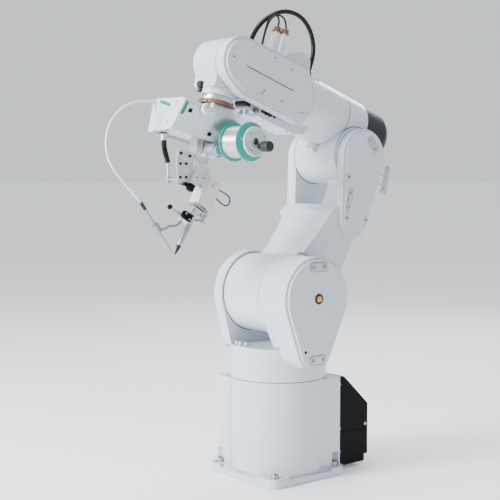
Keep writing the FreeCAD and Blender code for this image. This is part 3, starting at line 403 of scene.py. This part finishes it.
HUB = (SHOULDER[0], 160, SHOULDER[1])
STUDS = 8
STUD_CIRCLE = 16
mesh = bmesh.new()
for k in range(STUDS):
    angle = 2 * math.pi * k / STUDS
    spot = (HUB[0] + STUD_CIRCLE * math.cos(angle), HUB[1], HUB[2] + STUD_CIRCLE * math.sin(angle))
    lathe(mesh, [(2.7, 0), (2.7, 0.7), (2.2, 1.2), (0, 1.4)], spot, (0, 1, 0), 20)
finish_piece("hub_studs", mesh, FINISH["connector_white"], "turret")
hub = lathe(bmesh.new(), [(11, 0), (11, 1.2), (10.2, 2), (7.2, 2), (6.6, 1.2), (6.4, 0.3)], HUB, (0, 1, 0), 48)
finish_piece("hub_ring", hub, FINISH["dark_plastic"], "turret")
hub = lathe(bmesh.new(), [(6.4, 0), (6.4, 2), (5.8, 3.2), (4.2, 4), (1.6, 4.2), (0, 3.6)], HUB, (0, 1, 0), 48)
finish_piece("hub_cap", hub, AMBER, "turret")

socket_shade("shoulder_cover_sockets", [(15, 163.9, 461), (45, 163.9, 461), (18, 163.9, 269), (45, 163.9, 269)],
        3.5, "turret")
socket_shade("elbow_cover_sockets", [(3, 97.6, 391), (-19, 97.6, 384), (-10, 97.6, 264), (-22, 97.6, 234)], 2.6,
        "lower_arm", ARM)
socket_shade("elbow_plug_sockets", [(14, 96.1, 290), (-30, 96.1, 213), (-82, 96.1, 240)], 4.6, "lower_arm", ARM)
SIDE_COVER_SCREWS = ((30, -2), (-71, 38), (-121, 33), (-66, -36), (-61, -44), (-118, -39), (-178, -40))
socket_shade("side_cover_sockets", [(x, 71.4, z) for x, z in SIDE_COVER_SCREWS], 2.8, "forearm", FORE)
# painted shade: a flat dark disc stands in for the shoulder's drain hole
mesh = bmesh.new()
lathe(mesh, [(3.2, 160), (3.2, 160.3), (0, 160.3)], (66, 0, 288), (0, 1, 0), 24)
finish_piece("shoulder_drain_hole", mesh, SHADE_AND_BLACK, "turret")
mesh = bmesh.new()
frame_line(mesh, "xz", 159.9, rounded([(6.5, 451.5), (53.5, 451.5), (53.5, 470.5), (6.5, 470.5)], 6), 0.8)
frame_line(mesh, "xz", 159.9, rounded([(10.5, 259.5), (53.5, 259.5), (53.5, 278.5), (10.5, 278.5)], 6), 0.8)
finish_piece("shoulder_tab_lines", mesh, SHADE_AND_BLACK, "turret", smooth=False)
mesh = bmesh.new()
frame_line(mesh, "xz", 94.4, rounded([(-24, 376), (12, 387), (7, 404), (-28, 394)], 5), 0.7)
frame_line(mesh, "xz", 94.4, rounded([(-29.5, 226.5), (-18, 224), (-2.5, 270.5), (-13.5, 275)], 4), 0.7)
finish_piece("elbow_tab_lines", mesh, SHADE_AND_BLACK, "lower_arm", ARM, smooth=False)

# base bolts with washers in the four mounting holes
BOLT_X = (-79, 89)
BOLT_Y = (-92, 92)
mesh = bmesh.new()
socket_shade_mesh = bmesh.new()
for x in BOLT_X:
    for y in BOLT_Y:
        lathe(mesh, [(10.2, 17.1), (10.2, 18.6), (9.8, 18.9), (5, 18.9)], (x, y, 0), (0, 0, 1), 36)
        cap_screw(mesh, (x, y, 18.8), (0, 0, 1), 7.6, 7.8)
        # painted shade: a dark hexagon over each bolt's socket hollow
        lathe(socket_shade_mesh, [(4.1, 26.66), (0, 26.66)], (x, y, 0), (0, 0, 1), 6)
finish_piece("base_bolt_heads", mesh, FINISH["gear_steel"], "base")
finish_piece("base_bolt_sockets", socket_shade_mesh, SHADE_AND_BLACK, "base", smooth=False)

# ---------------------------------------------------------------- forearm details
stripe = prism(bmesh.new(), "xz", 69.6, 70.5, [(-141, -7.4), (-7, -7.4), (-6.2, -6.4), (-7, -5.4),
                                               (-141, -5.4), (-141.8, -6.4)])
finish_piece("forearm_stripe", stripe, STRIPE, "forearm", FORE, soften=0.25)

mesh = bmesh.new()
heads = bmesh.new()
for x, y in ((-101, 12), (-116, 21)):
    prism(mesh, "xy", 53.4, 114, oblong(x, y, 6, 6.5))
    for z in (58, 88, 109):
        prism(mesh, "xy", z, z + 3, oblong(x, y, 7, 7.3))
    prism(mesh, "xz", y + 6.4, y + 7.6, [(x - 2.5, 92), (x + 2.5, 92), (x + 2.5, 107), (x - 2.5, 107)])
    prism(heads, "xy", 114, 119, oblong(x, y, 6.6, 7))
    prism(heads, "xy", 119, 126, oblong(x, y, 5.6, 5.8))
    lathe(heads, [(4, 126), (4, 128), (2.6, 129.6), (2.2, 129.6)], (x, y, 0), (0, 0, 1), 20)
shells = finish_piece("connector_shells", mesh, FINISH["connector_white"], "forearm", FORE,
                      soften=0.8)
finish_piece("connector_plugs", heads, BROWN, "forearm", FORE, soften=0.9)
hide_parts("cable_connectors")

mesh = bmesh.new()
for x, z in ((-50, 50.4), (-224, 64.6)):
    lathe(mesh, [(9, 0), (9, 4.4), (8.2, 5.2)], (x, 0, z), (0, 0, 1), 6)
    lathe(mesh, [(8, 5), (8, 8.5), (6.6, 11), (5.4, 12.9), (5.1, 12.9)], (x, 0, z), (0, 0, 1), 32,
          ripple=0.15, lobes=16)
for x, y in ((-73, 12), (-68, 21)):
    lathe(mesh, [(4.8, 50.6), (4.8, 54.5), (4.2, 55.2)], (x, y, 0), (0, 0, 1), 6)
    lathe(mesh, [(4.1, 55), (3.9, 59), (3.0, 62), (2.2, 62)], (x, y, 0), (0, 0, 1), 24)
glands = finish_piece("gland_nuts", mesh, FINISH["dark_plastic"], "forearm", FORE)
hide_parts("cable_glands")

# ---------------------------------------------------------------- wrist details
mesh = prism(bmesh.new(), "xz", -16, -4, [(36, -62), (45, -61), (46.5, -52), (44, -48), (36, -48)])
prism(mesh, "xz", -14, -6, [(37.5, -71), (41.5, -71), (42, -62), (37, -62)])
finish_piece("wrist_sensor", mesh, FINISH["dark_plastic"], "wrist", TOOL, soften=0.8)

# ---------------------------------------------------------------- feeder details
mesh = prism(bmesh.new(), "yz", 112.6, 113.9, [(-33, -107.5), (-33, -114), (4, -123), (4, -116.5)])
prism(mesh, "yz", 104, 110.5, [(52.2, -113.4), (53.4, -114), (40.6, -138.4), (39.4, -137.8)])
finish_piece("green_bars", mesh, GREEN, "tool", TOOL, soften=0.3)
# painted shade: dark prisms stand in for the slots in the feeder
mesh = prism(bmesh.new(), "yz", 88, 96, [(47.2, -123.5), (48.3, -124), (44.6, -131), (43.5, -130.5)])
prism(mesh, "yz", 21, 29, [(31, -153), (34, -154), (31.4, -160.5), (28.6, -159.5)])
finish_piece("feeder_slots", mesh, SHADE_AND_BLACK, "tool", TOOL, soften=0.4)
mesh = bmesh.new()
for x, y, z in ((22, 51, -116.4), (22, 37.4, -142.4), (-34, 51, -116.4), (-34, 37.4, -142.4)):
    cap_screw(mesh, (x, y, z), (0, 0.89, 0.46), 2.4, 1.8)
for y, z in ((26, -113), (6, -154), (-44, -118)):
    cap_screw(mesh, (113, y, z), (1, 0, 0), 2.4, 1.8)
finish_piece("feeder_screws", mesh, FINISH["steel_fittings"], "tool", TOOL)

knob = lathe(bmesh.new(), [(3, -5), (3, 0), (10.4, 0), (10.8, 1.2), (10.8, 5.4), (9.6, 7), (0, 7)],
             (66, 58, -117), (0, 1, 0), 72, ripple=0.22, lobes=24)
knob = finish_piece("knurled_dial", knob, FINISH["connector_white"], "pressure_knob", TOOL)
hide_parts("pressure_knob")
mark = prism(bmesh.new(), "xz", 64.8, 65.4, [(65.2, -116), (66.8, -116), (66.8, -107.5), (65.2, -107.5)])
finish_piece("dial_pointer", mark, SHADE_AND_BLACK, "pressure_knob", TOOL)

# ---------------------------------------------------------------- reel
REEL_X, REEL_Z = -19.0, -162.0
CORE_RADIUS = 12.2
WOUND_RADIUS = 32.1
WIRE_RELIEF = 0.45
WOUND_START, WOUND_WIDTH = 60.3, 50.4
WIRE_TURNS = 40
STEPS_PER_TURN = 4
wire_steps = WIRE_TURNS * STEPS_PER_TURN
profile = [(CORE_RADIUS, 60.1)]
for k in range(wire_steps + 1):
    profile.append((WOUND_RADIUS + WIRE_RELIEF * math.sin(2 * math.pi * k / STEPS_PER_TURN),
                    WOUND_START + WOUND_WIDTH * k / wire_steps))
profile.append((CORE_RADIUS, 110.9))
wound = finish_piece("wound_solder", lathe(bmesh.new(), profile, (REEL_X, 0, REEL_Z), (0, 1, 0), 72),
                     FINISH["solder_wire"], "reel", TOOL)
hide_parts("solder_winding")
DISC_SCREWS = ((-2, -152), (-38, -147), (-12, -183))
disc = lathe(bmesh.new(), [(7.2, 113.2), (14, 113.2), (14, 122.4), (28.6, 122.6), (30, 123.6), (30, 126.6),
                           (28.8, 127.9), (24, 128), (23.2, 127.3), (17, 127.3), (16.2, 128), (7.2, 128)],
             (REEL_X, 0, REEL_Z), (0, 1, 0), 72)
for x, z in DISC_SCREWS:
    cap_screw(disc, (x, 127.2, z), (0, 1, 0), 2.8, 1.4)
disc = finish_piece("reel_disc", disc, PALE, "reel", TOOL)
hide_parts("reel_clamp_knob")
socket_shade("reel_disc_sockets", [(x, 128.64, z) for x, z in DISC_SCREWS], 2.8, "reel", TOOL)
grip = lathe(bmesh.new(), [(6, 127.4), (6, 138), (9.6, 138.4), (10.7, 139.6), (10.9, 156), (10, 159), (8, 160),
                           (0, 159.4)], (REEL_X - 12, 0, REEL_Z - 7), (0, 1, 0), 72, ripple=0.12, lobes=18)
finish_piece("reel_grip", grip, FINISH["dark_plastic"], "reel", TOOL)

# ---------------------------------------------------------------- iron
barrel = lathe(bmesh.new(),
               [(4.1, 20.3), (5.6, 20.3), (6.2, 21.5), (6.2, 40), (5.7, 40.6), (5.7, 43.4), (6.2, 44),
                             (6.2, 95.8), (7.5, 96.2), (7.5, 115)], (0, 0, 0), (0, 0, 1), 40)
barrel = finish_piece("iron_sleeve", barrel, FINISH["gear_steel"], "tool", IRON)
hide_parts("iron_barrel")
GRIP_SHARE = 0.852  # how far up the guide tube the grip starts
guide_low, guide_high = Vector((12.7, 0, 1.7)), Vector((124.9, 0, 48.6))
axis = guide_high - guide_low
sleeve = lathe(bmesh.new(), [(1.8, 0), (3.5, 0.4), (3.7, 1), (3.7, 17.2), (3.2, 18), (2.2, 18)],
               guide_low + axis * GRIP_SHARE, axis, 28)
finish_piece("guide_grip", sleeve, FINISH["dark_plastic"], "tool", IRON)

# clamp cluster round the iron's barrel
mesh = prism(bmesh.new(), "xz", 9.2, 15.5, [(9, 69), (31, 69), (34.5, 73), (34.5, 81), (31, 84.5), (9, 84.5)])
prism(mesh, "xz", 8, 20, [(38, 123), (48, 123), (51, 127), (51, 137), (38, 137)])
lathe(mesh, [(3.8, 0), (4.4, 1), (4.4, 9), (3.6, 11), (0, 11)], (50, 14, 130), (1, 0, 0), 28, ripple=0.2,
      lobes=12)
lathe(mesh, [(8.4, 0), (9, 0.8), (9, 3.4), (8.4, 4.2)], (0, 0, 106), (0, 0, 1), 36)
lathe(mesh, [(5.2, 0), (5.2, 4.5), (4, 5.5), (0, 5.5)], (57.5, 0, 76), (1, 0, 0), 24)
finish_piece("clamp_black_parts", mesh, SHADE_AND_BLACK, "tool", IRON, soften=0.6)
mesh = prism(bmesh.new(), "xz", -8, 10,
             [(-23, 86), (-20, 83), (-13.5, 83), (-13.5, 113), (-20, 113), (-23, 110)])
prism(mesh, "xz", -11, 11, [(-16, 107), (14, 107), (14, 110.5), (-16, 110.5)])
for z in (88, 98, 108):
    cap_screw(mesh, (-18, 10, z), (0, 1, 0), 2.4, 2.2)
for x, z in ((15, 73), (28, 80)):
    cap_screw(mesh, (x, 15.4, z), (0, 1, 0), 2.2, 2)
for z in (89, 105):
    lathe(mesh, [(1.5, 0), (1.5, 7), (2.6, 7.2), (2.6, 9.4), (0, 9.4)], (-22.6, 3, z), (-1, 0, 0), 20)
finish_piece("clamp_steel_parts", mesh, FINISH["gear_steel"], "tool", IRON, soften=0.5)
socket_shade("split_clamp_sockets", [(-9, 14.3, 96), (11, 14.3, 96)], 2.6, "tool", IRON)
socket_shade("slide_sockets", [(33, 27.1, 160.5), (47, 27.1, 151.5), (33, 27.1, 142.5)], 2.2, "tool", IRON)
mesh = bmesh.new()
for x in (104, 118):
    for z in (-205, -232):
        cap_screw(mesh, (x, 8.9, z), (0, 1, 0), 3, 1.8)
finish_piece("plate_screws", mesh, FINISH["motor_black"], "tool", LEVEL)
mesh = bmesh.new()
for x in (73, 50):
    cap_screw(mesh, (x, 14.9, -208), (0, 1, 0), 3.2, 2.4)
finish_piece("bar_screws", mesh, FINISH["motor_black"], "tool", TOOL)

# dark plate between the wrist flange and the feeder
RIM_SCREWS = 6
RIM_RADIUS = 36.5
mesh = lathe(bmesh.new(), [(35.8, -91), (37.2, -90.4), (37.2, -86), (36.4, -85.2), (36.4, -82)], (0, 0, 0),
             (0, 0, 1), 64)
for k in range(RIM_SCREWS):
    turn = math.radians(360 / RIM_SCREWS * k + 20)
    lathe(mesh, [(2.6, 0), (2.6, 3), (0, 3)], (RIM_RADIUS * math.cos(turn), RIM_RADIUS * math.sin(turn), -88),
          (math.cos(turn), math.sin(turn), 0), 16)
finish_piece("adapter_rim", mesh, BROWN, "tool", TOOL)

# painted shade: a dark block stands in for the opening under the forearm; beside it, black fittings on the side
# of the underside cover
mesh = prism(bmesh.new(), "xz", -10, 28, [(-74, -58.5), (-60, -58.5), (-61, -64), (-65, -67), (-74, -67)])
for x, z, r in ((-107, -63, 4.4), (-116, -65, 3.2), (-126, -63, 4.8), (-140, -62, 3.4)):
    lathe(mesh, [(r, 0), (r, 5), (r - 0.8, 5.8), (r * 0.5, 5.8), (r * 0.5, 3)], (x, 29.6, z), (0, 1, 0), 24)
finish_piece("underside_opening_shade_and_fittings", mesh, FINISH["motor_black"], "forearm", FORE, soften=0.5)
mesh = lathe(bmesh.new(), [(4, 0), (4.4, 0.6), (4.4, 6), (3.6, 7), (0, 7)], (-91, 25.6, -67), (0, 1, 0), 28)
finish_piece("underside_plug", mesh, BROWN, "forearm", FORE)

# joint lines between castings
mesh = lathe(bmesh.new(), [(100, 213.15), (105.12, 213.15), (105.12, 213.85), (100, 213.85)], (0, 0, 0),
             (0, 0, 1), 120)
finish_piece("base_joint_line", mesh, SHADE_AND_BLACK, "base", smooth=False)
mesh = lathe(bmesh.new(), [(84.2, -47.96), (85.6, -47.9), (85.6, -48.2)], (SHOULDER[0], 0, SHOULDER[1]),
             (0, 1, 0), 120)
finish_piece("ear_joint_line", mesh, SHADE_AND_BLACK, "turret", smooth=False)
mesh = lathe(bmesh.new(), [(64, -317.2), (65.14, -317.1), (65.14, -316.2), (64, -316.1)], (0, 0, 0),
             (1, 0, 0), 120)
finish_piece("roll_joint_line", mesh, SHADE_AND_BLACK, "elbow", FORE, smooth=False)
mesh = bmesh.new()
for side in (1, -1):
    lathe(mesh, [(62.12, 65.3 * side), (63.2, 65.45 * side), (62, 65.45 * side)],
          (-FOREARM_LENGTH, 0, -FOREARM_OFFSET), (0, 1, 0), 120)
finish_piece("elbow_joint_lines", mesh, SHADE_AND_BLACK, "elbow", FORE, smooth=False)

# ---------------------------------------------------------------- stage
FLOOR_REACH = 60
FLOOR_LEVEL = -0.0006
mesh = bmesh.new()
for x, y in oblong(0, 0, FLOOR_REACH, FLOOR_REACH):
    mesh.verts.new((x, y, FLOOR_LEVEL))
mesh.faces.new(mesh.verts)
data = bpy.data.meshes.new("floor")
mesh.to_mesh(data)
mesh.free()
floor = bpy.data.objects.new("floor", data)
bpy.context.scene.collection.objects.link(floor)
pale = surface("pale_floor", (0.92, 0.93, 0.94), 0.6, vary=0.01, scale=1.5, bump=0.0)
glow = pale.node_tree.nodes["Principled BSDF"].inputs
glow["Emission Color"].default_value = (0.93, 0.96, 1.0, 1)
glow["Emission Strength"].default_value = 0.18
data.materials.append(pale)

world = bpy.data.worlds.new("studio")
world.use_nodes = True
sky = world.node_tree.nodes["Background"].inputs
sky["Color"].default_value = (0.90, 0.95, 1.0, 1)
sky["Strength"].default_value = 0.95
bpy.context.scene.world = world


def lamp(name, location, target, size, power):
    """A round soft light aimed at a target."""
    data = bpy.data.lights.new(name, "AREA")
    data.shape = "DISK"
    data.size = size
    data.energy = power
    light = bpy.data.objects.new(name, data)
    bpy.context.scene.collection.objects.link(light)
    light.location = location
    light.rotation_mode = "QUATERNION"
    light.rotation_quaternion = (Vector(target) - Vector(location)).to_track_quat("-Z", "Y")


lamp("key", (2.7, -0.5, 1.5), (0, 0, 0.5), 1.1, 190)
lamp("top", (0.1, -0.3, 3.0), (0, 0, 0.5), 1.6, 60)
lamp("back", (-2.2, -1.2, 1.8), (0, 0, 0.6), 1.2, 30)
